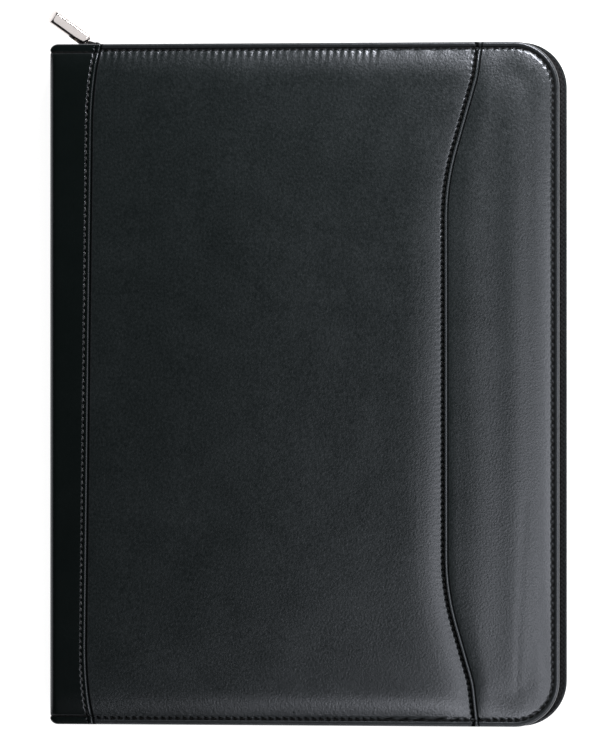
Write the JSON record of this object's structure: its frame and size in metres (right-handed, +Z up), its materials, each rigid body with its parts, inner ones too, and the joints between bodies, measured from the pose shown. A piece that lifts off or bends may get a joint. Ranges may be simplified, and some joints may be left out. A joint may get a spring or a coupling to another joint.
{
  "type": "zippered padfolio",
  "caption": "Zippered leather padfolio with padded covers on a folding spine, a zip round its open edges, an outer slip pocket, a writing pad, a pen loop and card pockets.",
  "frame": {"origin": "middle of the back cover's resting face", "axes": "+X from the spine to the opening edge, +Y from tail to head, +Z up through the closed case"},
  "size_m": [0.2651, 0.3605, 0.0294],
  "materials": {
    "black_leather": "smooth fine-grained black leather with a soft sheen",
    "inner_leather": "black leather, turned and sewn at its edges",
    "lining_fabric": "black woven lining",
    "padding_foam": "thin grey padding",
    "cover_board": "grey-brown stiffening board",
    "zip_tape": "black woven zip tape",
    "zip_coil": "black nylon coil",
    "black_metal": "black enamelled metal",
    "nickel": "polished nickel",
    "clear_vinyl": "clear vinyl",
    "pad_card": "grey-brown card",
    "white_paper": "white writing paper",
    "pad_tape": "black paper binding"
  },
  "bodies": {
    "back_cover": {"back_leather": "black_leather", "spine_wing_back": "black_leather", "back_board": "cover_board", "back_foam": "padding_foam", "back_lining": "lining_fabric", "lower_zip_tape": "zip_tape", "lower_zip_row": "zip_coil", "lower_zip_stops": "black_metal", "pad_backing_card": "pad_card", "pad_paper": "white_paper", "pad_binding": "pad_tape", "pad_sleeve": "inner_leather", "pad_sleeve_welts": "inner_leather", "pen_loop": "inner_leather"},
    "spine": {"spine_leather": "black_leather", "spine_board": "cover_board", "spine_lining": "lining_fabric"},
    "front_cover": {"front_leather": "black_leather", "front_pocket_panel": "black_leather", "spine_wing_front": "black_leather", "front_board": "cover_board", "front_foam": "padding_foam", "front_lining": "lining_fabric", "upper_zip_tape": "zip_tape", "upper_zip_row": "zip_coil", "upper_zip_stops": "black_metal", "document_pocket": "inner_leather", "document_pocket_welts": "inner_leather", "card_pocket_upper": "inner_leather", "card_pocket_middle": "inner_leather", "card_pocket_lower": "inner_leather", "id_window": "clear_vinyl", "id_window_frame": "inner_leather"},
    "slider": {"zip_slider": "black_metal"},
    "link": {"pull_link": "black_metal"},
    "pull": {"zip_pull": "nickel"}
  },
  "joints": [
    {"name": "spine_fold", "type": "hinge", "parent": "back_cover", "child": "spine", "pos_m": [-0.1265, 0, 0.004], "axis": [0, -1, 0], "range_deg": [0, 90]},
    {"name": "cover_fold", "type": "hinge", "parent": "spine", "child": "front_cover", "pos_m": [-0.1265, 0, 0.0254], "axis": [0, -1, 0], "range_deg": [0, 90]},
    {"name": "zip_run", "type": "slide", "parent": "back_cover", "child": "slider", "axis": [1, 0, 0], "range_m": [0, 0.2]},
    {"name": "link_swing", "type": "hinge", "parent": "slider", "child": "link", "pos_m": [-0.109, 0.17095, 0.0137], "axis": [0, 0, 1], "range_deg": [-108, 3]},
    {"name": "pull_swing", "type": "hinge", "parent": "link", "child": "pull", "pos_m": [-0.11242, 0.17206, 0.0137], "axis": [0, 0, 1], "range_deg": [-21, 12]}
  ],
  "couplings": [
    {"joint": "cover_fold", "follows": "spine_fold", "ratio": 1}
  ]
}
